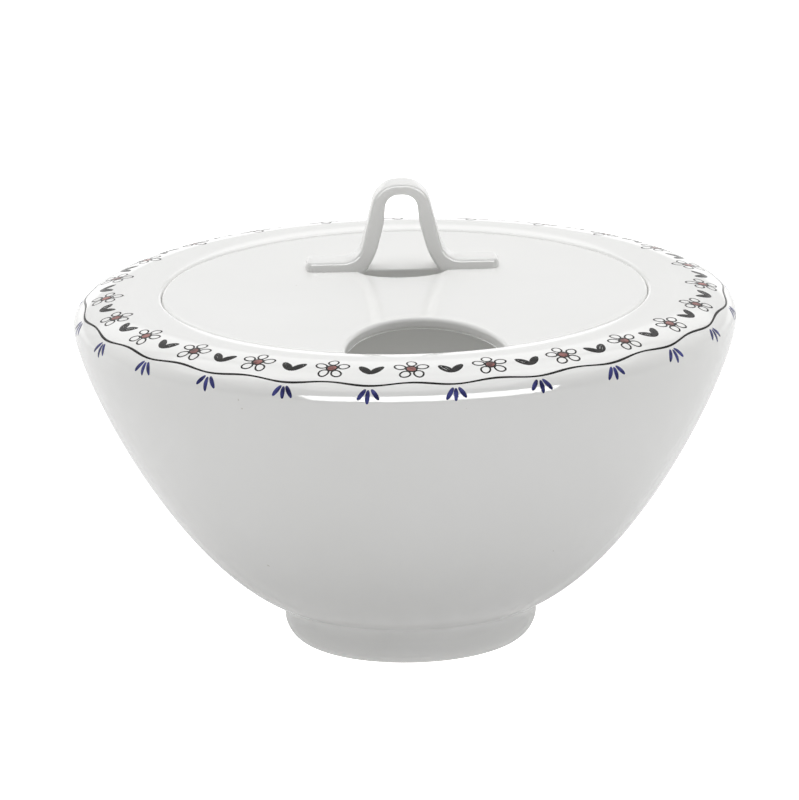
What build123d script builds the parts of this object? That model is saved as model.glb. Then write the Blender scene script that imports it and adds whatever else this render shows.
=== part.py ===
"""Lidded sugar bowl in glazed porcelain.

A deep round bowl stands on a foot ring. Its rim turns inwards as a broad, softly rounded band with
a rebate, and a thin dished lid lies in that rebate, flush with the band. The lid has a spoon notch
in its edge, an arched strap handle, and a narrow slot under the arch.

Millimetres, +Z up. The origin is the centre of the circle the bowl stands on. The handle runs along
X behind the lid's centre, and the notch faces -Y.
"""
import os

from build123d import *

# Bowl: its widest circle, the equator, is where the wall ends and the rim band starts
bowl_radius = 60.0
equator_height = 59.5
wall = 3.6

# Bowl wall: a curve that leaves the foot at a shallow angle and ends upright at the equator
outer_low_pull = (42.1, 13.9)
outer_high_pull = 51.7
inner_low_pull = 33.5
inner_high_pull = 49.8
floor_radius = 20.6
floor_height = 10.6

# Foot ring
foot_radius = 22.9
foot_height = 7.0
foot_inner_radius = 16.2
contact_radius = 18.7
heel_rise = 4.9
foot_lip_round = 0.9

# Rim band: a rounded shoulder up to the crown, then a slight fall to the lip beside the lid
crown_radius = 49.5
crown_height = 64.85
lip_height = 64.45
lip_round = 0.7
rebate_radius = 44.0
seat_inner_radius = 39.8
seat_round = 0.6
seat_back_radius = 47.3
band_underside = 61.2
underside_radius = 50.4
underside_round = 0.8

# Lid
lid_radius = 43.7
lid_thickness = 2.8
lid_dish = 0.7
seat_gap = 0.05
lid_edge_round = 0.8
lid_under_round = 0.6
lid_top = lip_height
lid_bottom = lid_top - lid_thickness
seat_height = lid_bottom - seat_gap

# Spoon notch: half an ellipse that opens at the lid's edge, a few degrees off the handle's middle
notch_half_width = 14.3
notch_depth = 26.6
notch_turn = 4.0
notch_corner_round = 2.0

# Slot under the arch: straight at the back, bowed at the front
slot_half_width = 7.9
slot_depth = 5.4
slot_back = 17.9
slot_corner_round = 0.5
slot_lip_round = 0.7

# Handle: one bent strap, seen from the front as an arch on two flat feet
strap_front = 16.5
strap_depth = 5.6
strap_base = 63.9
foot_reach = 17.5
foot_thickness = 1.8
outer_corners = [(foot_reach, foot_thickness), (7.9, foot_thickness), (4.4, 16.2), (0, 16.2)]
outer_bends = [3.6, 4.8]
inner_corners = [(0, 14.1), (2.75, 14.1), (3.2, 9.0), (4.85, 2.6), (7.2, -0.8)]
inner_bends = [2.5, 12.0, 14.0]
foot_sink = 0.8
foot_corner_round = 1.4
strap_round = 0.6

os.makedirs("parts", exist_ok=True)


def finish(piece, name):
    """Label a finished piece and write it as its own STEP file."""
    piece.part.label = name
    export_step(piece.part, f"parts/{name}.step")


def off_seam(edge):
    """True unless the edge is the seam of a revolved face, which lies at Y = 0."""
    return abs(edge.center().Y) > 1


def on_lid_top(edge):
    """True if the edge lies in the lid's dished top."""
    return edge.center().Z > lid_top - lid_dish


def above_lid(edge):
    """True unless the edge is one where the handle's feet meet the lid."""
    return edge.center().Z > strap_base + foot_thickness / 4


# ---- Bowl ----

with BuildPart() as bowl_wall:
    with BuildSketch(Plane.XZ):
        with BuildLine():
            outside = Bezier(
                (foot_radius, foot_height),
                outer_low_pull,
                (bowl_radius, outer_high_pull),
                (bowl_radius, equator_height),
            )
            inside = Bezier(
                (bowl_radius - wall, equator_height),
                (bowl_radius - wall, inner_high_pull),
                (inner_low_pull, floor_height),
                (floor_radius, floor_height),
            )
            Line(outside @ 1, inside @ 0)
            Polyline(inside @ 1, (0, floor_height), (0, foot_height), outside @ 0)
        make_face()
    revolve(axis=Axis.Z)
finish(bowl_wall, "bowl_wall")

with BuildPart() as foot_ring:
    with BuildSketch(Plane.XZ) as foot_section:
        with BuildLine():
            heel = EllipticalCenterArc(
                (contact_radius, heel_rise),
                foot_radius - contact_radius,
                heel_rise,
                start_angle=270,
                arc_size=90,
            )
            Polyline(
                heel @ 1,
                (foot_radius, foot_height),
                (foot_inner_radius, foot_height),
                (foot_inner_radius, 0),
                heel @ 0,
            )
        make_face()
        inner_lip = foot_section.vertices().group_by(Axis.X)[0].sort_by(Axis.Y)[0]
        fillet(inner_lip, foot_lip_round)
    revolve(axis=Axis.Z)
finish(foot_ring, "foot_ring")

with BuildPart() as rim_band:
    with BuildSketch(Plane.XZ) as band_section:
        with BuildLine():
            shoulder = EllipticalCenterArc(
                (crown_radius, equator_height),
                bowl_radius - crown_radius,
                crown_height - equator_height,
                arc_size=90,
            )
            crown = TangentArc(shoulder @ 1, (rebate_radius, lip_height), tangent=(-1, 0))
            hollow = EllipticalCenterArc(
                (underside_radius, equator_height),
                bowl_radius - wall - underside_radius,
                band_underside - equator_height,
                arc_size=90,
            )
            Polyline(
                crown @ 1,
                (rebate_radius, seat_height),
                (seat_inner_radius, seat_height),
                (seat_inner_radius, equator_height),
                (seat_back_radius, equator_height),
                (seat_back_radius, band_underside),
                hollow @ 1,
            )
            Line(hollow @ 0, shoulder @ 0)
        make_face()
        corners = band_section.vertices().group_by(Axis.X)
        seat_corners, rebate_corners, back_corners = corners[:3]
        fillet(seat_corners, seat_round)
        fillet(rebate_corners.sort_by(Axis.Y)[-1], lip_round)
        fillet(back_corners, underside_round)
    revolve(axis=Axis.Z)
finish(rim_band, "rim_band")

# ---- Lid ----

with BuildPart() as lid_blank:
    with BuildSketch(Plane.XZ):
        with BuildLine():
            top = TangentArc((0, lid_top - lid_dish), (lid_radius, lid_top), tangent=(1, 0))
            Polyline(top @ 1, (lid_radius, lid_bottom), (0, lid_bottom), top @ 0)
        make_face()
    revolve(axis=Axis.Z)

with BuildPart() as lid_plate:
    with BuildSketch(Plane.XY.offset(lid_bottom)) as lid_outline:
        Circle(lid_radius)
        with PolarLocations(lid_radius, 1, start_angle=notch_turn - 90):
            Ellipse(notch_depth, notch_half_width, mode=Mode.SUBTRACT)
        fillet(lid_outline.vertices().sort_by(Axis.Y)[:2], notch_corner_round)
    extrude(amount=lid_thickness)
    add(lid_blank.part, mode=Mode.INTERSECT)
    top_loop = lid_plate.faces().sort_by(Axis.Z)[-1].edges().filter_by(off_seam)
    fillet(top_loop, lid_edge_round)
    bottom_loop = lid_plate.faces().sort_by(Axis.Z)[0].edges()
    fillet(bottom_loop, lid_under_round)

    with BuildSketch(Plane.XY.offset(lid_bottom)) as slot_outline:
        with BuildLine():
            bow = EllipticalCenterArc(
                (0, slot_back), slot_half_width, slot_depth, start_angle=180, arc_size=180
            )
            Line(bow @ 1, bow @ 0)
        make_face()
        fillet(slot_outline.vertices(), slot_corner_round)
    extrude(amount=lid_thickness, mode=Mode.SUBTRACT)
    slot_lip = lid_plate.edges(Select.LAST).filter_by(on_lid_top)
    fillet(slot_lip, slot_lip_round)
finish(lid_plate, "lid_plate")

with BuildPart() as lid_handle:
    arch_plane = Plane(origin=(0, strap_front, strap_base), x_dir=(1, 0, 0), z_dir=(0, -1, 0))
    with BuildSketch(arch_plane):
        with BuildLine():
            outer = FilletPolyline(*outer_corners, radius=outer_bends)
            inner = FilletPolyline(*inner_corners, radius=inner_bends)
            Line(outer @ 1, inner @ 0)
            Polyline(inner @ 1, (foot_reach, -foot_sink), outer @ 0)
        make_face()
        mirror(about=Plane.YZ)
    extrude(amount=-strap_depth)
    add(lid_blank.part, mode=Mode.SUBTRACT)
    foot_corners = lid_handle.edges().filter_by(Axis.Z).group_by(Axis.X)
    fillet(foot_corners[0] + foot_corners[-1], foot_corner_round)
    sides = lid_handle.faces().sort_by(Axis.Y)
    long_edges = (sides[0].edges() + sides[-1].edges()).filter_by(above_lid)
    fillet(long_edges, strap_round)
finish(lid_handle, "lid_handle")
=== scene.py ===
"""Looks for the lidded sugar bowl: glazed porcelain with a small painted border on the rim band.

The bowl, the lid plate and the handle are rebuilt as fine, softly rounded meshes over the CAD
frame. Lengths below are millimetres and turn into metres where a mesh is made. Angles round the
bowl are degrees from the front, -Y, towards +X.
"""
import math
import random

import bmesh
import bpy
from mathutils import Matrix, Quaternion, Vector
from mathutils.geometry import delaunay_2d_cdt


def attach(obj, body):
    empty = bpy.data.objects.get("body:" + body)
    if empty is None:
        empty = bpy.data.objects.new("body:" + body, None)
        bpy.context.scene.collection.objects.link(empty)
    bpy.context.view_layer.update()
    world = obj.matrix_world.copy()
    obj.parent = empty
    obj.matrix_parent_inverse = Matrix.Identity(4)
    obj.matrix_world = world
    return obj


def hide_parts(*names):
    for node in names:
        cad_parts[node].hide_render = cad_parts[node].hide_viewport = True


MM = 0.001

# The shared frame's sizes, as the CAD model has them
BOWL_RADIUS = 60.0
EQUATOR = 59.5
WALL = 3.6
FOOT_RADIUS = 22.9
FOOT_HEIGHT = 7.0
CROWN_RADIUS = 49.5
CROWN_HEIGHT = 64.85
LIP_HEIGHT = 64.45
REBATE_RADIUS = 44.0
LID_RADIUS = 43.95
LID_BOTTOM = 61.65
LID_DISH = 0.7
LID_ROUND = 0.8
SEAT_HEIGHT = 61.6
SEAT_RADIUS = 39.8
BAND_BACK_RADIUS = 47.3
BAND_UNDERSIDE = 61.2
UNDERSIDE_RADIUS = 50.4
INNER_FLOOR_HEIGHT = 10.6
INNER_FLOOR_RADIUS = 20.6
FOOT_INNER_RADIUS = 16.2
CONTACT_RADIUS = 18.7
HEEL_RISE = 4.9
NOTCH_HALF_WIDTH = 14.3
NOTCH_DEPTH = 26.6
NOTCH_TURN = 4.0
NOTCH_CENTRE = 43.7
SLOT_HALF_WIDTH = 7.9
SLOT_DEPTH = 5.4
SLOT_BACK = 17.9
STRAP_FRONT = 16.5
STRAP_DEPTH = 5.6
STRAP_BASE = 63.9
STRAP_ROUND = 0.6
STRAP_REACH = 17.6
STRAP_SINK = 0.8
STRAP_FOOT_HEIGHT = 1.8
STRAP_FOOT_ROUND = 1.4
SLOT_BACK_ROUND = 0.3
SLOT_FRONT_ROUND = 0.7

# Fineness of the meshes
TURNS = 288
ROUND_STEPS = 10
GRID = 1.15


# ---- Plane curves, in millimetres ----


def bezier(a, b, c, d, steps=56):
    """Points along a cubic curve, both ends included."""
    a, b, c, d = (Vector(p) for p in (a, b, c, d))
    found = []
    for i in range(steps + 1):
        t = i / steps
        s = 1 - t
        found.append(a * s**3 + b * (3 * s * s * t) + c * (3 * s * t * t) + d * t**3)
    return found


def arc(centre, across, up, start, end, steps=32):
    """Points along part of an ellipse, from one angle to another in degrees."""
    found = []
    for i in range(steps + 1):
        t = math.radians(start + (end - start) * i / steps)
        found.append(Vector((centre[0] + across * math.cos(t), centre[1] + up * math.sin(t))))
    return found


def circle_through(start, end, leave, steps=24):
    """Points along the arc that leaves start in the direction leave and ends at end."""
    start, end, leave = Vector(start), Vector(end), Vector(leave).normalized()
    side = Vector((-leave.y, leave.x))
    chord = end - start
    radius = chord.length_squared / (2 * chord.dot(side))
    middle = start + side * radius
    first = start - middle
    turn = first.angle_signed(end - middle)
    found = []
    for i in range(steps + 1):
        t = -turn * i / steps
        c, s = math.cos(t), math.sin(t)
        found.append(middle + Vector((first.x * c - first.y * s, first.x * s + first.y * c)))
    return found


def cut_back(run, reach):
    """The run with the last stretch of that length taken off."""
    run = list(run)
    while len(run) > 2 and (run[-1] - run[-2]).length <= reach:
        reach -= (run[-1] - run[-2]).length
        run.pop()
    run[-1] = run[-1] + (run[-2] - run[-1]).normalized() * reach
    return run


def round_off(a, corner, b):
    """Points between a and b along the arc that is tangent to both sides of the corner."""
    weight = math.sin((a - corner).angle(b - corner) / 2)
    found = []
    for i in range(1, ROUND_STEPS):
        t = i / ROUND_STEPS
        shares = ((1 - t) ** 2, 2 * weight * t * (1 - t), t * t)
        found.append((a * shares[0] + corner * shares[1] + b * shares[2]) / sum(shares))
    return found


def chain(*parts):
    """One path from runs of points with a rounding reach between each two."""
    path = [Vector(p) for p in parts[0]]
    for reach, run in zip(parts[1::2], parts[2::2]):
        run = [Vector(p) for p in run]
        if reach == 0:
            path += run[1:]
            continue
        corner = path[-1].copy()
        path = cut_back(path, reach)
        run = cut_back(run[::-1], reach)[::-1]
        path += round_off(path[-1], corner, run[0]) + run
    return path


def evenly(path, step):
    """The path again with points about one step apart, its ends kept."""
    lengths = [0.0]
    for a, b in zip(path, path[1:]):
        lengths.append(lengths[-1] + (b - a).length)
    count = max(2, round(lengths[-1] / step))
    found, k = [], 0
    for i in range(count + 1):
        at = lengths[-1] * i / count
        while k < len(path) - 2 and lengths[k + 1] < at:
            k += 1
        span = max(lengths[k + 1] - lengths[k], 1e-9)
        found.append(path[k].lerp(path[k + 1], min(1.0, (at - lengths[k]) / span)))
    return found


# ---- Meshes ----


def make(name, bm, body, materials):
    """Turn a bmesh in millimetres into a finished piece that rides on a body."""
    bmesh.ops.scale(bm, vec=(MM, MM, MM), verts=bm.verts)
    bmesh.ops.recalc_face_normals(bm, faces=bm.faces)
    for face in bm.faces:
        face.smooth = True
    mesh = bpy.data.meshes.new(name)
    bm.to_mesh(mesh)
    bm.free()
    for material in materials:
        mesh.materials.append(material)
    piece = bpy.data.objects.new(name, mesh)
    bpy.context.scene.collection.objects.link(piece)
    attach(piece, body)
    return piece


def bridge(bm, a, b):
    """Faces between two rings of vertices; either ring may be a single point."""
    count = max(len(a), len(b))
    for i in range(count):
        j = (i + 1) % count
        if len(a) == 1:
            bm.faces.new((a[0], b[j], b[i]))
        elif len(b) == 1:
            bm.faces.new((a[i], a[j], b[0]))
        else:
            bm.faces.new((a[i], a[j], b[j], b[i]))


def lathe(profile):
    """A solid of revolution about Z from a profile whose two ends lie on the axis."""
    bm = bmesh.new()
    rings = []
    for p in profile:
        if p.x < 1e-6:
            rings.append([bm.verts.new((0, 0, p.y))])
            continue
        ring = []
        for i in range(TURNS):
            t = math.tau * i / TURNS
            ring.append(bm.verts.new((p.x * math.cos(t), p.x * math.sin(t), p.y)))
        rings.append(ring)
    for a, b in zip(rings, rings[1:]):
        bridge(bm, a, b)
    return bm


def leftward(loop):
    """The unit normal on the left of a closed loop at each of its points."""
    found = []
    for i, p in enumerate(loop):
        along = loop[(i + 1) % len(loop)] - loop[i - 1]
        found.append(Vector((-along.y, along.x)).normalized())
    return found


def rounded_slab(loops, rounds, bottom, top, inside, place):
    """A plate with softly rounded edges.

    loops: closed outlines with the plate on their left. rounds: for each outline, the radius at
    each of its points. bottom and top: functions of the plan point. inside: whether a plan point
    and a margin lie on the plate. place: turns plan x, plan y and height into a 3-D point.
    """
    bm = bmesh.new()
    below, above = [], []
    for loop, radii in zip(loops, rounds):
        normals = leftward(loop)
        rings = []
        for height, turn_back in ((bottom, True), (top, False)):
            rows = []
            for k in range(ROUND_STEPS + 1):
                t = math.pi / 2 * k / ROUND_STEPS
                row = []
                for p, n, r in zip(loop, normals, radii):
                    q = p + n * (r * (1 - math.cos(t)))
                    drop = r * (1 - math.sin(t))
                    z = height(q) + (drop if turn_back else -drop)
                    row.append((q, z))
                rows.append(row)
            rings += rows[::-1] if turn_back else rows
        made = [[bm.verts.new(place(q.x, q.y, z)) for q, z in row] for row in rings]
        for a, b in zip(made, made[1:]):
            bridge(bm, a, b)
        below.append([(q, v) for (q, _), v in zip(rings[0], made[0])])
        above.append([(q, v) for (q, _), v in zip(rings[-1], made[-1])])
    cover(bm, below, bottom, inside, place)
    cover(bm, above, top, inside, place)
    return bm


def cover(bm, edges, height, inside, place):
    """Fill between the edge loops with small, even triangles."""
    points, vertices, links = [], [], []
    for loop in edges:
        base = len(points)
        for i, (q, v) in enumerate(loop):
            points.append(Vector((q.x, q.y)))
            vertices.append(v)
            links.append((base + i, base + (i + 1) % len(loop)))
    xs, ys = [p.x for p in points], [p.y for p in points]
    rows = int((max(ys) - min(ys)) / (GRID * 0.866)) + 1
    columns = int((max(xs) - min(xs)) / GRID) + 2
    for j in range(rows):
        for i in range(columns):
            q = Vector((min(xs) + GRID * (i - 0.5 * (j % 2)), min(ys) + GRID * 0.866 * j))
            if inside(q, GRID * 0.7):
                points.append(q)
                vertices.append(bm.verts.new(place(q.x, q.y, height(q))))
    where, _, faces, sources, _, _ = delaunay_2d_cdt(points, links, [], 1, 1e-7)
    for face in faces:
        middle = sum((where[i] for i in face), Vector((0, 0))) / len(face)
        if inside(middle, 0):
            bm.faces.new([vertices[sources[i][0]] for i in face])


# ---- Materials ----


def shader(name, **settings):
    """A new material with its Principled shader set, its node tree and the shader."""
    material = bpy.data.materials.new(name)
    material.use_nodes = True
    tree = material.node_tree
    principled = tree.nodes["Principled BSDF"]
    for socket, value in settings.items():
        principled.inputs[socket.replace("_", " ")].default_value = value
    return material, tree, principled


def noise(tree, scale, detail=2.0, roughness=0.5):
    """A noise texture in the object's own coordinates; its scale is features per metre."""
    place = tree.nodes.new("ShaderNodeTexCoord")
    texture = tree.nodes.new("ShaderNodeTexNoise")
    texture.inputs["Scale"].default_value = scale
    texture.inputs["Detail"].default_value = detail
    texture.inputs["Roughness"].default_value = roughness
    tree.links.new(place.outputs["Object"], texture.inputs["Vector"])
    return texture.outputs["Fac"]


def ramp(tree, source, *stops):
    """A colour ramp over a value; each stop is a position and a colour."""
    node = tree.nodes.new("ShaderNodeValToRGB")
    while len(node.color_ramp.elements) < len(stops):
        node.color_ramp.elements.new(0.5)
    for element, (position, colour) in zip(node.color_ramp.elements, stops):
        element.position = position
        element.color = (*colour, 1)
    tree.links.new(source, node.inputs["Fac"])
    return node.outputs["Color"]


def mixed(tree, amount, a, b, blend="MIX"):
    """Two colours mixed by an amount that is a socket or a number."""
    node = tree.nodes.new("ShaderNodeMix")
    node.data_type = "RGBA"
    node.blend_type = blend
    for socket, value in ((node.inputs[0], amount), (node.inputs[6], a), (node.inputs[7], b)):
        if isinstance(value, bpy.types.NodeSocket):
            tree.links.new(value, socket)
        else:
            socket.default_value = value if isinstance(value, float) else (*value, 1)
    return node.outputs[2]


def bump(tree, height, depth, under=None):
    """A bump of that depth in metres from a height between 0 and 1."""
    node = tree.nodes.new("ShaderNodeBump")
    node.inputs["Strength"].default_value = 1.0
    node.inputs["Distance"].default_value = depth
    tree.links.new(height, node.inputs["Height"])
    if under is not None:
        tree.links.new(under, node.inputs["Normal"])
    return node.outputs["Normal"]


def glaze(name, light, dark, rough, coat):
    """Clear-glazed white porcelain, a little uneven in tone, level and shine."""
    material, tree, principled = shader(name, IOR=1.52, Coat_Weight=coat, Coat_Roughness=0.08)
    tone = ramp(tree, noise(tree, 22, 3), (0.3, dark), (0.7, light))
    specks = ramp(tree, noise(tree, 900, 0), (0.07, (0.74, 0.72, 0.68)), (0.09, (1, 1, 1)))
    colour = mixed(tree, 0.8, tone, specks, "MULTIPLY")
    tree.links.new(colour, principled.inputs["Base Color"])
    shine = ramp(tree, noise(tree, 60, 4), (0.3, (rough,) * 3), (0.75, (rough * 1.6,) * 3))
    tree.links.new(shine, principled.inputs["Roughness"])
    wave = bump(tree, noise(tree, 70, 1), 0.00003)
    level = bump(tree, noise(tree, 600, 2), 0.0000015, wave)
    tree.links.new(level, principled.inputs["Normal"])
    return material


def enamel(name, thin, thick, scale, gloss):
    """Painted colour, thinner and thicker along the brush strokes."""
    material, tree, principled = shader(name, Roughness=0.1, IOR=1.52, Specular_IOR_Level=gloss)
    tone = ramp(tree, noise(tree, scale, 4, 0.6), (0.36, thin), (0.62, thick))
    tree.links.new(tone, principled.inputs["Base Color"])
    tree.links.new(bump(tree, noise(tree, 900, 2), 0.000002), principled.inputs["Normal"])
    return material


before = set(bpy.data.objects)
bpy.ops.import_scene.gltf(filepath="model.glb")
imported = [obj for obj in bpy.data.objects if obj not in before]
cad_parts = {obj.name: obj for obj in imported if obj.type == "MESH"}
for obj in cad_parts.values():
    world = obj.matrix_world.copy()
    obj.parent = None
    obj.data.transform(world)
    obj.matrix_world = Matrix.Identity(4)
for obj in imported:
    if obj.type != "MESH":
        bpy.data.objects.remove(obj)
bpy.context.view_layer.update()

white = glaze("glaze_white", (0.86, 0.86, 0.85), (0.835, 0.835, 0.82), 0.06, 0.3)
# The handle's glaze is a little darker than the lid's, though both are one glaze on the real
# piece: painted shade, standing in for the shade on the handle's front.
shaded_handle_glaze = glaze("glaze_shaded_handle", (0.82, 0.82, 0.81), (0.8, 0.8, 0.785), 0.15, 0.0)
white_lid = glaze("glaze_white_lid", (0.87, 0.87, 0.86), (0.85, 0.85, 0.835), 0.1, 0.0)
white_inside = glaze("glaze_white_inside", (0.86, 0.86, 0.85), (0.835, 0.835, 0.82), 0.34, 0.0)
bare, bare_tree, bare_shader = shader("bare_porcelain", Roughness=0.75)
bare_tone = ramp(
    bare_tree, noise(bare_tree, 500, 4), (0.3, (0.74, 0.71, 0.66)), (0.7, (0.82, 0.8, 0.76))
)
bare_tree.links.new(bare_tone, bare_shader.inputs["Base Color"])
bare_tree.links.new(
    bump(bare_tree, noise(bare_tree, 2500, 3), 0.00004), bare_shader.inputs["Normal"]
)
line_ink = enamel("line_ink", (0.022, 0.02, 0.018), (0.004, 0.004, 0.004), 700, 0.12)
blue_ink = enamel("blue_ink", (0.065, 0.072, 0.27), (0.007, 0.008, 0.06), 420, 0.25)
red_ink = enamel("red_ink", (0.42, 0.15, 0.13), (0.1, 0.03, 0.028), 600, 0.2)


# ---- Bowl ----

outer_wall = bezier((FOOT_RADIUS, FOOT_HEIGHT), (42.1, 13.9), (BOWL_RADIUS, 51.7),
                    (BOWL_RADIUS, EQUATOR))
inner_wall = bezier((BOWL_RADIUS - WALL, EQUATOR), (BOWL_RADIUS - WALL, 49.8),
                    (33.5, INNER_FLOOR_HEIGHT), (INNER_FLOOR_RADIUS, INNER_FLOOR_HEIGHT), 36)
shoulder = arc((CROWN_RADIUS, EQUATOR), BOWL_RADIUS - CROWN_RADIUS, CROWN_HEIGHT - EQUATOR,
               0, 90)
crown = circle_through((CROWN_RADIUS, CROWN_HEIGHT), (REBATE_RADIUS, LIP_HEIGHT), (-1, 0))
hollow = arc((UNDERSIDE_RADIUS, EQUATOR), BOWL_RADIUS - WALL - UNDERSIDE_RADIUS,
             BAND_UNDERSIDE - EQUATOR, 90, 0, 12)
heel = arc((CONTACT_RADIUS, HEEL_RISE), FOOT_RADIUS - CONTACT_RADIUS, HEEL_RISE, 270, 360, 20)

bowl_path = chain(
    [(0, FOOT_HEIGHT), (FOOT_INNER_RADIUS, FOOT_HEIGHT)],
    0.6,
    [(FOOT_INNER_RADIUS, FOOT_HEIGHT), (FOOT_INNER_RADIUS, 0)],
    0.9,
    [(FOOT_INNER_RADIUS, 0), (CONTACT_RADIUS, 0)],
    0,
    heel,
    0,
    [(FOOT_RADIUS, HEEL_RISE), (FOOT_RADIUS, FOOT_HEIGHT)],
    2.4,
    outer_wall,
    0,
    shoulder,
    0,
    crown,
    0.75,
    [(REBATE_RADIUS, LIP_HEIGHT), (REBATE_RADIUS, SEAT_HEIGHT)],
    0.25,
    [(REBATE_RADIUS, SEAT_HEIGHT), (SEAT_RADIUS, SEAT_HEIGHT)],
    0.6,
    [(SEAT_RADIUS, SEAT_HEIGHT), (SEAT_RADIUS, EQUATOR)],
    0.6,
    [(SEAT_RADIUS, EQUATOR), (BAND_BACK_RADIUS, EQUATOR)],
    0.8,
    [(BAND_BACK_RADIUS, EQUATOR), (BAND_BACK_RADIUS, BAND_UNDERSIDE)],
    0.5,
    [(BAND_BACK_RADIUS, BAND_UNDERSIDE), (UNDERSIDE_RADIUS, BAND_UNDERSIDE)],
    0,
    hollow,
    0,
    inner_wall,
    0,
    [(INNER_FLOOR_RADIUS, INNER_FLOOR_HEIGHT), (0, INNER_FLOOR_HEIGHT)],
)
bowl_bm = lathe(bowl_path)

# The bare ring that the bowl stands on, and a softer glaze on the inner wall and floor
first_inside = (len(bowl_path) - 1 - len(inner_wall)) * TURNS
for i, face in enumerate(bowl_bm.faces):
    spot = face.calc_center_median()
    if spot.z < 0.12 and FOOT_INNER_RADIUS + 0.3 < math.hypot(spot.x, spot.y) < 20:
        face.material_index = 1
    elif i >= first_inside:
        face.material_index = 2
bowl = make("bowl", bowl_bm, "bowl", [white, bare, white_inside])
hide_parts("bowl_wall", "foot_ring", "rim_band")


# ---- Lid plate ----

turn = math.radians(NOTCH_TURN)
mouth = Vector((math.sin(turn), -math.cos(turn))) * NOTCH_CENTRE
inward = -mouth.normalized()
sideways = Vector((-inward.y, inward.x))


def notch_reach(p):
    """Below 1 inside the notch's ellipse, 1 on it and above 1 outside."""
    d = p - mouth
    return math.hypot(d.dot(sideways) / NOTCH_HALF_WIDTH, d.dot(inward) / NOTCH_DEPTH)


def notch_edge():
    """The notch's edge from its mouth at +X round its end to its mouth at -X."""
    found = []
    steps = 240
    for i in range(steps + 1):
        t = math.radians(-20 + 220 * i / steps)
        across = sideways * (-NOTCH_HALF_WIDTH * math.cos(t))
        p = mouth + across + inward * (NOTCH_DEPTH * math.sin(t))
        if p.length < LID_RADIUS:
            found.append(p)
    return found


def rim_edge(start, end):
    """The lid's round edge from one point counter-clockwise to another."""
    a = math.atan2(start.y, start.x)
    b = math.atan2(end.y, end.x)
    while b < a:
        b += math.tau
    return arc((0, 0), LID_RADIUS, LID_RADIUS, math.degrees(a), math.degrees(b), 600)


NOTCH_CORNER_REACH = 1.6

edge = notch_edge()
rim = rim_edge(edge[0], edge[-1])
lid_path = chain(rim, NOTCH_CORNER_REACH, edge[::-1])
for _ in range(2):
    lid_path = cut_back(lid_path, NOTCH_CORNER_REACH)[::-1]
lid_path += round_off(lid_path[-1], edge[0], lid_path[0]) + [lid_path[0]]
lid_loop = evenly(lid_path, 0.5)[:-1]


def slot_edge():
    """The slot's outline, clockwise, so that the plate is on its left."""
    middle = (0, SLOT_BACK)
    bow = arc(middle, SLOT_HALF_WIDTH, SLOT_DEPTH, 180, 360, 90)
    path = chain([middle, (-SLOT_HALF_WIDTH, SLOT_BACK)], 0.8, bow, 0.8,
                 [(SLOT_HALF_WIDTH, SLOT_BACK), middle])
    return evenly(path, 0.25)[:-1][::-1]


slot_loop = slot_edge()


def on_lid(p, margin):
    """Whether a plan point lies on the lid, at least a margin from each edge.

    Near the notch's edge, a distance over about 15 is the same as a share of the notch's reach.
    """
    inset = LID_ROUND + margin
    if p.length > LID_RADIUS - LID_ROUND - margin or notch_reach(p) < 1 + inset / 15:
        return False
    d = p - Vector((0, SLOT_BACK))
    wide = SLOT_HALF_WIDTH + SLOT_FRONT_ROUND + margin
    deep = SLOT_DEPTH + SLOT_FRONT_ROUND + margin
    return not (d.y < SLOT_BACK_ROUND + margin and math.hypot(d.x / wide, min(d.y, 0) / deep) < 1)


def dish(p):
    """The lid's top, which dips to its middle."""
    return LIP_HEIGHT - LID_DISH * max(0.0, 1 - p.length_squared / LID_RADIUS**2)


def undercut(x, y, z):
    """A point of the lid, with the slot's back leaning away from the front below its lip."""
    near = min(1.0, max(0.0, y - SLOT_BACK + 1.0))
    near *= min(1.0, max(0.0, (SLOT_BACK + 4.5 - y) / 4.5))
    sunk = min(1.0, max(0.0, (LIP_HEIGHT - LID_DISH - 0.2 - z) / 2.0))
    return x, y + 1.3 * near * sunk * (abs(x) < SLOT_HALF_WIDTH + 3), z


lid_bm = rounded_slab(
    [lid_loop, slot_loop],
    [[LID_ROUND] * len(lid_loop),
     [SLOT_BACK_ROUND if p.y > SLOT_BACK - 0.2 else SLOT_FRONT_ROUND for p in slot_loop]],
    lambda p: LID_BOTTOM,
    dish,
    on_lid,
    undercut,
)
lid = make("lid", lid_bm, "lid", [white_lid])
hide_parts("lid_plate")


# ---- Handle ----


def fillet_run(corners, radii):
    """A run of straight lines with tangent arcs at its inner corners."""
    parts = [[corners[0], corners[1]]]
    for i, r in enumerate(radii):
        a, b, c = (Vector(corners[i + k]) for k in range(3))
        bend = (a - b).angle(c - b)
        parts += [r / math.tan(bend / 2), [b, c]]
    return chain(*parts)


# The arch seen from the front: millimetres from its middle, and up from the strap's base
outer_edge = fillet_run(
    [(STRAP_REACH, STRAP_FOOT_HEIGHT), (7.9, STRAP_FOOT_HEIGHT), (4.4, 16.2), (0, 16.2)],
    [3.6, 4.8],
)
inner_edge = fillet_run(
    [(0, 14.1), (2.75, 14.1), (3.2, 9.0), (4.85, 2.6), (7.2, -STRAP_SINK)],
    [2.5, 12.0, 14.0],
)
outer_edge = evenly(outer_edge, 0.3)
inner_edge = evenly(inner_edge, 0.3)


def flip(points):
    """The points mirrored to the other side, in the opposite order."""
    return [Vector((-p.x, p.y)) for p in reversed(points)]


outline = chain(
    inner_edge,
    0.9,
    [(7.2, -STRAP_SINK), (STRAP_REACH, -STRAP_SINK)],
    0.9,
    [(STRAP_REACH, -STRAP_SINK), (STRAP_REACH, STRAP_FOOT_HEIGHT)],
    0.9,
    outer_edge,
    0,
    flip(outer_edge),
    0.9,
    [(-STRAP_REACH, STRAP_FOOT_HEIGHT), (-STRAP_REACH, -STRAP_SINK)],
    0.9,
    [(-STRAP_REACH, -STRAP_SINK), (-7.2, -STRAP_SINK)],
    0.9,
    flip(inner_edge),
)
outline = evenly(outline, 0.2)[:-1]


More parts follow.
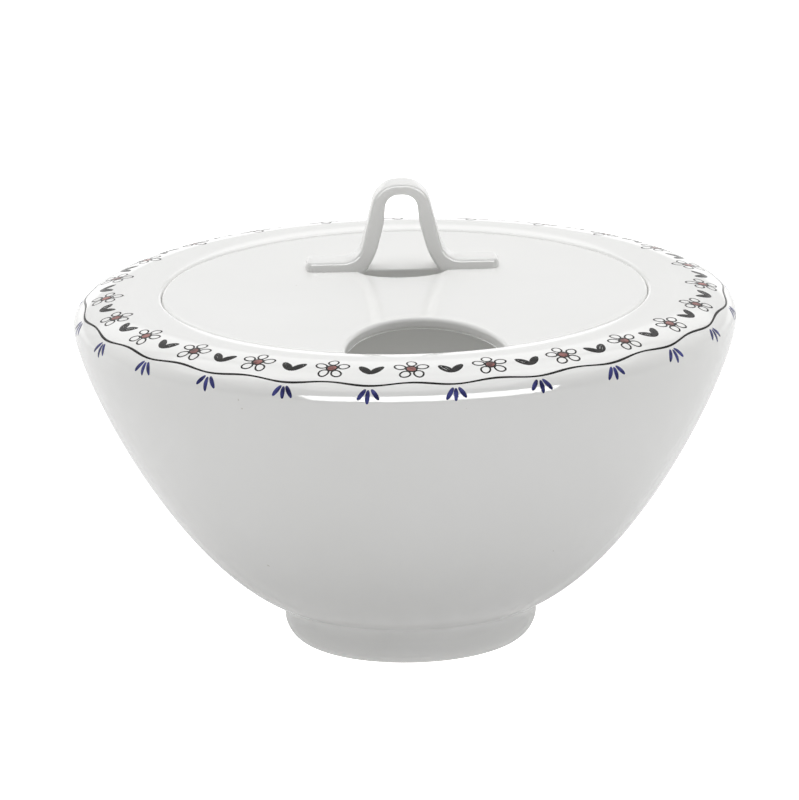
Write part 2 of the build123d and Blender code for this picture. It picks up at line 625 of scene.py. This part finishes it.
def in_outline(p, margin):
    """Whether a point lies inside the outline; no points are wanted at a margin from it."""
    if margin:
        return False
    within = False
    for a, b in zip(outline, outline[1:] + outline[:1]):
        if (a.y > p.y) != (b.y > p.y) and p.x < a.x + (b.x - a.x) * (p.y - a.y) / (b.y - a.y):
            within = not within
    return within


def strap_place(x, y, z):
    """A point of the handle, with the ends of its feet rounded in plan."""
    past = max(0.0, abs(x) - STRAP_REACH + STRAP_FOOT_ROUND)
    half = STRAP_DEPTH / 2
    kept = math.sqrt(max(0.0, STRAP_FOOT_ROUND**2 - past**2))
    squeeze = 1 - (STRAP_FOOT_ROUND - kept) / half
    return x, STRAP_FRONT + half + (z - half) * squeeze, STRAP_BASE + y


handle_bm = rounded_slab(
    [outline],
    [[STRAP_ROUND] * len(outline)],
    lambda p: 0.0,
    lambda p: STRAP_DEPTH,
    in_outline,
    strap_place,
)
handle = make("handle", handle_bm, "lid", [shaded_handle_glaze])
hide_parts("lid_handle")


# ---- Painted border ----

# The painted surface: from a little down the wall up over the shoulder to the crown's lip.
# A place on it is an angle and a way, the millimetres up from the equator along the surface.
wall_top = outer_wall[-16:]
paint_path = chain(wall_top, 0, shoulder, 0, crown)
paint_ways = [0.0]
for first, second in zip(paint_path, paint_path[1:]):
    paint_ways.append(paint_ways[-1] + (second - first).length)
below = sum((b - a).length for a, b in zip(wall_top, wall_top[1:]))
paint_ways = [w - below for w in paint_ways]


def band_point(way):
    """The profile's point and outward normal at a way along the painted surface."""
    way = max(paint_ways[0], min(paint_ways[-1] - 1e-6, way))
    k = 0
    while paint_ways[k + 1] < way:
        k += 1
    share = (way - paint_ways[k]) / (paint_ways[k + 1] - paint_ways[k])
    here, there = paint_path[k], paint_path[k + 1]
    along = there - here
    before = here - paint_path[k - 1] if k else along
    after = paint_path[k + 2] - there if k + 2 < len(paint_path) else along
    blended = (before + along).lerp(along + after, share)
    return here.lerp(there, share), Vector((blended.y, -blended.x)).normalized()


def on_band(angle, way, lift):
    """The 3-D point at an angle in degrees and a way, lifted off the surface."""
    point, normal = band_point(way)
    r, z = point.x + normal.x * lift, point.y + normal.y * lift
    t = math.radians(angle)
    return r * math.sin(t), -r * math.cos(t), z


def aside(angle, way, across):
    """The angle that lies some millimetres to the side at that way."""
    return angle + math.degrees(across / band_point(way)[0].x)


# Heights of the paint's base, edge and top above the glaze
SUNK = -0.06
EDGE = 0.004
PROUD = 0.018
BRUSH_PROFILE = ((-1, SUNK), (-1, EDGE), (-0.6, PROUD), (0.6, PROUD), (1, EDGE), (1, SUNK))


def ribbon(bm, path, widths, closed=False):
    """A thin raised brush line. The path is angles and ways; widths are half widths."""
    rings = []
    count = len(path)
    for i, (angle, way) in enumerate(path):
        before = path[i - 1] if i or closed else path[i]
        after = path[(i + 1) % count] if i < count - 1 or closed else path[i]
        r = band_point(way)[0].x
        step = (after[0] - before[0] + 180) % 360 - 180
        along = Vector((math.radians(step) * r, after[1] - before[1])).normalized()
        left = Vector((-along.y, along.x))
        ring = []
        for side, lift in BRUSH_PROFILE:
            offset = left * (side * widths[i])
            spot = on_band(aside(angle, way, offset.x), way + offset.y, lift)
            ring.append(bm.verts.new(spot))
        rings.append(ring)
    pairs = list(zip(rings, rings[1:])) + ([(rings[-1], rings[0])] if closed else [])
    for a, b in pairs:
        bridge(bm, a, b)
    if not closed:
        bm.faces.new(rings[0])
        bm.faces.new(rings[-1][::-1])


def blot(bm, angle, way, loop):
    """A small filled shape; the loop is millimetres about its middle."""
    rows = []
    for scale, height in ((1, SUNK), (1, EDGE), (0.8, PROUD)):
        row = []
        for p in loop:
            spot = on_band(aside(angle, way, p.x * scale), way + p.y * scale, height)
            row.append(bm.verts.new(spot))
        rows.append(row)
    for a, b in zip(rows, rows[1:]):
        bridge(bm, a, b)
    bridge(bm, rows[-1], [bm.verts.new(on_band(angle, way, PROUD))])
    bridge(bm, rows[0], [bm.verts.new(on_band(angle, way, SUNK))])


def oval(across, up, tilt, count):
    """A small closed oval, a little uneven; tilt is in degrees."""
    wobble = 0.05
    phase = dice.uniform(0, math.tau)
    found = []
    for i in range(count):
        t = math.tau * i / count
        grow = 1 + wobble * math.sin(2 * t + phase) + wobble * 0.6 * math.sin(3 * t - phase)
        x, y = across * grow * math.cos(t), up * grow * math.sin(t)
        c, s = math.cos(math.radians(tilt)), math.sin(math.radians(tilt))
        found.append(Vector((x * c - y * s, x * s + y * c)))
    return found


def tapered(count, middle, ends):
    """Half widths that swell from thin ends to the middle."""
    return [middle * (ends + (1 - ends) * math.sin(math.pi * i / (count - 1)) ** 0.6)
            for i in range(count)]


def local(angle, way, points):
    """Angles and ways for points in millimetres about a place."""
    return [(aside(angle, way + p.y, p.x), way + p.y) for p in points]


# The border's design: ways and half widths are millimetres
dice = random.Random(11)
LINE_WAY = 3.9
LINE_SWING = 0.35
FLOWER_WAY = 8.3
FLOWERS = 24
PETALS = 5
LINE_STEPS = 1200


def line_way(angle):
    """Where the painted line runs: an even wave with one swing for each flower."""
    return LINE_WAY + LINE_SWING * math.cos(math.radians(angle) * FLOWERS)


def leaf(bm, angle, way, root, turn, long):
    """An outlined leaf with a middle vein, grown from a point in millimetres about a place."""
    t = math.radians(turn)
    out = Vector((math.cos(t), math.sin(t)))
    tip = root + out * long
    side = Vector((-out.y, out.x)) * (0.8 * dice.uniform(0.85, 1.15))
    upper = bezier(root, root.lerp(tip, 0.3) + side, root.lerp(tip, 0.8) + side * 0.8, tip, 12)
    lower = bezier(tip, root.lerp(tip, 0.8) - side * 0.6, root.lerp(tip, 0.3) - side, root, 12)
    vein = bezier(root, root.lerp(tip, 0.3), root.lerp(tip, 0.6), root.lerp(tip, 0.8), 12)
    for path, thick in ((upper, 0.31), (lower, 0.28), (vein, 0.21)):
        ribbon(bm, local(angle, way, path), tapered(13, thick, 0.6))


line_bm, blue_bm, red_bm = bmesh.new(), bmesh.new(), bmesh.new()
line_angles = [360 * i / LINE_STEPS for i in range(LINE_STEPS)]
line_widths = [0.21 + 0.03 * math.sin(i * math.tau / 40) for i in range(LINE_STEPS)]
ribbon(line_bm, [(angle, line_way(angle)) for angle in line_angles], line_widths, closed=True)

# A plain chain of five-petalled flowers, with a pair of leaves between each two
for k in range(FLOWERS):
    at = 360 * k / FLOWERS
    heart = oval(0.85, 0.9, 0, 24)
    blot(red_bm, at, FLOWER_WAY, heart)
    ring = local(at, FLOWER_WAY, [p * 1.1 for p in heart])
    ribbon(line_bm, ring, [dice.uniform(0.16, 0.22) for _ in ring], closed=True)
    for j in range(PETALS):
        turn = 90 + 360 * j / PETALS + dice.uniform(-4, 4)
        out = Vector((math.cos(math.radians(turn)), math.sin(math.radians(turn)))) * 2.1
        petal = [p + out for p in oval(1.0, 0.85, turn, 20)]
        ribbon(line_bm, local(at, FLOWER_WAY, petal), [0.17] * len(petal), closed=True)
    for side in (-1, 1):
        leaf(line_bm, at + 180 / FLOWERS, FLOWER_WAY, Vector((0, -1.6)), 90 + side * 40, 3.2)

# Three short blue strokes fan out below the line between each two flowers
for k in range(FLOWERS):
    at = 360 * (k + 0.5) / FLOWERS
    top = line_way(at)
    for turn in (-34, 0, 34):
        lean = math.radians(turn + dice.uniform(-4, 4))
        long = 2.5 * dice.uniform(0.9, 1.1)
        path = []
        for i in range(13):
            down = 0.9 + long * i / 12
            path.append((aside(at, top, math.sin(lean) * down), top - math.cos(lean) * down))
        ribbon(blue_bm, path, tapered(13, 0.42, 0.3))

make("border_lines", line_bm, "bowl", [line_ink])
make("border_blue", blue_bm, "bowl", [blue_ink])
make("border_red", red_bm, "bowl", [red_ink])


# ---- Camera ----

TARGET = Vector((0, 0, 0.040))
DISTANCE = 1.9161
AZIMUTH = math.radians(-1.0)
ELEVATION = math.radians(15.388)
ROLL = math.radians(1.127)
AIM_LEFT = 0.001382
AIM_UP = 0.003806

back = Vector((math.sin(AZIMUTH) * math.cos(ELEVATION), -math.cos(AZIMUTH) * math.cos(ELEVATION),
               math.sin(ELEVATION)))
camera = bpy.data.objects.new("camera", bpy.data.cameras.new("camera"))
bpy.context.scene.collection.objects.link(camera)
camera.data.sensor_width = 36
camera.data.lens = 475.3
camera.data.clip_end = 20
camera.location = TARGET + back * DISTANCE
camera.rotation_mode = "QUATERNION"
upright = (-back).to_track_quat("-Z", "Y") @ Quaternion((0, 0, 1), -ROLL)
aim = TARGET - (upright @ Vector((1, 0, 0))) * AIM_LEFT + (upright @ Vector((0, 1, 0))) * AIM_UP
look = (aim - camera.location).to_track_quat("-Z", "Y") @ Quaternion((0, 0, 1), -ROLL)
camera.rotation_quaternion = look
bpy.context.scene.camera = camera


# ---- Floor and light ----


def softbox(name, azimuth, elevation, distance, wide, high, radiance):
    """A rectangular light, unseen by the camera, that faces the bowl.

    azimuth: degrees from the front, -Y, towards +X. wide and high: the angles it fills.
    """
    a, e = math.radians(azimuth), math.radians(elevation)
    out = Vector((math.sin(a) * math.cos(e), -math.cos(a) * math.cos(e), math.sin(e)))
    lamp = bpy.data.lights.new(name, "AREA")
    lamp.shape = "RECTANGLE"
    lamp.size = 2 * distance * math.tan(math.radians(wide / 2))
    lamp.size_y = 2 * distance * math.tan(math.radians(high / 2))
    lamp.energy = radiance * math.pi * lamp.size * lamp.size_y
    box = bpy.data.objects.new(name, lamp)
    bpy.context.scene.collection.objects.link(box)
    box.location = TARGET + out * distance
    box.rotation_mode = "QUATERNION"
    box.rotation_quaternion = (-out).to_track_quat("-Z", "Y")
    box.visible_camera = False
    return box


# The floor is plain white to the camera. It also glows a little close to the foot and far away,
# which lights the underside of the bowl.
floor_material, floor_tree, floor_shader = shader("studio_floor", Roughness=0.9)
floor_tone = ramp(
    floor_tree, noise(floor_tree, 2, 2), (0.3, (0.81, 0.81, 0.81)), (0.7, (0.83, 0.83, 0.83))
)
floor_tree.links.new(floor_tone, floor_shader.inputs["Base Color"])
floor_shader.inputs["Emission Color"].default_value = (1, 1, 1, 1)
floor_seen = floor_tree.nodes.new("ShaderNodeLightPath")
floor_place = floor_tree.nodes.new("ShaderNodeTexCoord")
floor_reach = floor_tree.nodes.new("ShaderNodeVectorMath")
floor_reach.operation = "LENGTH"
floor_tree.links.new(floor_place.outputs["Object"], floor_reach.inputs[0])
floor_glow = floor_seen.outputs["Is Camera Ray"]
near_glow = {"From Min": 0.017, "From Max": 0.042, "To Min": 0.2, "To Max": 0.0}
far_glow = {"From Min": 0.09, "From Max": 0.26, "To Min": 0.0, "To Max": 0.2}
for fade in (near_glow, far_glow):
    glow = floor_tree.nodes.new("ShaderNodeMapRange")
    glow.interpolation_type = "SMOOTHSTEP"
    for socket, value in fade.items():
        glow.inputs[socket].default_value = value
    floor_tree.links.new(floor_reach.outputs["Value"], glow.inputs["Value"])
    total = floor_tree.nodes.new("ShaderNodeMath")
    total.operation = "ADD"
    floor_tree.links.new(floor_glow, total.inputs[0])
    floor_tree.links.new(glow.outputs["Result"], total.inputs[1])
    floor_glow = total.outputs[0]
floor_tree.links.new(floor_glow, floor_shader.inputs["Emission Strength"])
FLOOR_REACH = 4000.0
FLOOR_LEVEL = -0.05

floor_bm = bmesh.new()
floor_bm.faces.new([floor_bm.verts.new((x * FLOOR_REACH, y * FLOOR_REACH, FLOOR_LEVEL))
                    for x, y in ((-1, -1), (1, -1), (1, 1), (-1, 1))])
bmesh.ops.scale(floor_bm, vec=(MM, MM, MM), verts=floor_bm.verts)
floor_mesh = bpy.data.meshes.new("floor")
floor_bm.to_mesh(floor_mesh)
floor_bm.free()
floor_mesh.materials.append(floor_material)
floor = bpy.data.objects.new("floor", floor_mesh)
bpy.context.scene.collection.objects.link(floor)

# One box above, four behind and two at the sides
softbox("overhead", 0, 90, 1.5, 50, 50, 1.16)
softbox("back_high", 180, 56, 2.2, 56, 22, 0.54)
softbox("back_low", 180, 32, 2.2, 56, 20, 0.47)
for side in (-1, 1):
    softbox("back_side", side * 130, 56, 2.2, 40, 22, 0.57)
    softbox("side_high", side * 90, 56, 2.2, 36, 22, 0.28)

# A bright box in front, seen only as the highlight on the shoulder and the handle's edges
glint = softbox("front_glint", 8, 23, 2.2, 84, 34, 9)
glint.visible_diffuse = False
glint_catchers = bpy.data.collections.new("glint_catchers")
for piece in (bowl, handle):
    glint_catchers.objects.link(piece)
glint.light_linking.receiver_collection = glint_catchers

# A low band at the back, seen only as a sheen on the lid and the rim
skyline = softbox("back_skyline", 180, 3, 2.4, 150, 12, 0.5)
skyline.visible_diffuse = False

# A faint lamp inside the bowl, for the light that comes through thin porcelain
inner = bpy.data.lights.new("through_the_wall", "POINT")
inner.energy = 0.0046
inner.shadow_soft_size = 0.012
inner_object = bpy.data.objects.new("through_the_wall", inner)
inner_object.location = (0, 0.02, 0.033)
bpy.context.scene.collection.objects.link(inner_object)

world = bpy.data.worlds.new("studio")
bpy.context.scene.world = world
world.use_nodes = True
sky = world.node_tree

# The surroundings are white to the camera, and as light they are brighter towards the back
background = sky.nodes["Background"]
background.inputs["Color"].default_value = (1, 1, 1, 1)
direction = sky.nodes.new("ShaderNodeTexCoord")
split = sky.nodes.new("ShaderNodeSeparateXYZ")
sky.links.new(direction.outputs["Generated"], split.inputs["Vector"])
towards_back = sky.nodes.new("ShaderNodeMapRange")
towards_back.interpolation_type = "SMOOTHSTEP"
for socket, value in (("From Min", -0.5), ("From Max", 0.5), ("To Min", 0.41), ("To Max", 0.77)):
    towards_back.inputs[socket].default_value = value
sky.links.new(split.outputs["Y"], towards_back.inputs["Value"])
seen = sky.nodes.new("ShaderNodeLightPath")
level = sky.nodes.new("ShaderNodeMix")
sky.links.new(seen.outputs["Is Camera Ray"], level.inputs[0])
sky.links.new(towards_back.outputs["Result"], level.inputs[2])
level.inputs[3].default_value = 1.0
sky.links.new(level.outputs[0], background.inputs["Strength"])
bpy.context.scene.cycles.diffuse_bounces = 8

bpy.context.scene.view_settings.view_transform = "Standard"
